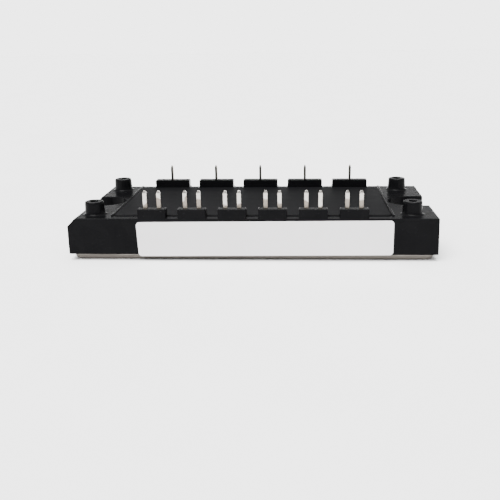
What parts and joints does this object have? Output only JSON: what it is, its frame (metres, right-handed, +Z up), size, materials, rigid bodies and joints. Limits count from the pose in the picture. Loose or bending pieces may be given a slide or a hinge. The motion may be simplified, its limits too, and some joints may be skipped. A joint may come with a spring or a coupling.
{
  "type": "igbt module",
  "caption": "Flat insulated transistor module: dark moulded frame with castellated pin blocks, corner screw bosses and end notches on a plated metal base plate, with upright pins.",
  "frame": {"origin": "centre of the base plate's underside", "axes": "+X along the length, -Y towards the label side, +Z up, away from the heat sink"},
  "size_m": [0.1076, 0.0451, 0.0205],
  "materials": {
    "plate": "satin nickel plating on copper",
    "frame": "fine-grained moulded, glass-filled",
    "lid": "fine-grained moulded",
    "label": "light grey polyester film",
    "gel": "soft clear silicone",
    "pins": "tin plating, slightly warm",
    "blades": "tin plating",
    "copper": "bare copper foil",
    "ceramic": "fired alumina",
    "silicon": "polished silicon with a metal top layer",
    "wire": "drawn bond wire"
  },
  "bodies": {
    "root": {"base_plate": "plate", "housing_frame": "frame", "lid": "lid", "label": "label", "gel": "gel", "control_pin_1": "pins", "control_pin_2": "pins", "control_pin_3": "pins", "control_pin_4": "pins", "control_pin_5": "pins", "control_pin_6": "pins", "control_pin_7": "pins", "control_pin_8": "pins", "control_pin_9": "pins", "control_pin_10": "pins", "control_pin_11": "pins", "control_pin_12": "pins", "power_blade_1": "blades", "power_blade_2": "blades", "power_blade_3": "blades", "power_blade_4": "blades", "power_blade_5": "blades", "back_foil_1": "copper", "back_foil_2": "copper", "back_foil_3": "copper", "tracks_1": "copper", "tracks_2": "copper", "tracks_3": "copper", "ceramic_1": "ceramic", "ceramic_2": "ceramic", "ceramic_3": "ceramic", "igbt_chip_1": "silicon", "igbt_chip_2": "silicon", "igbt_chip_3": "silicon", "igbt_chip_4": "silicon", "igbt_chip_5": "silicon", "igbt_chip_6": "silicon", "diode_chip_1": "silicon", "diode_chip_2": "silicon", "diode_chip_3": "silicon", "diode_chip_4": "silicon", "diode_chip_5": "silicon", "diode_chip_6": "silicon", "bond_wires_1": "wire", "bond_wires_2": "wire", "bond_wires_3": "wire"}
  },
  "joints": []
}
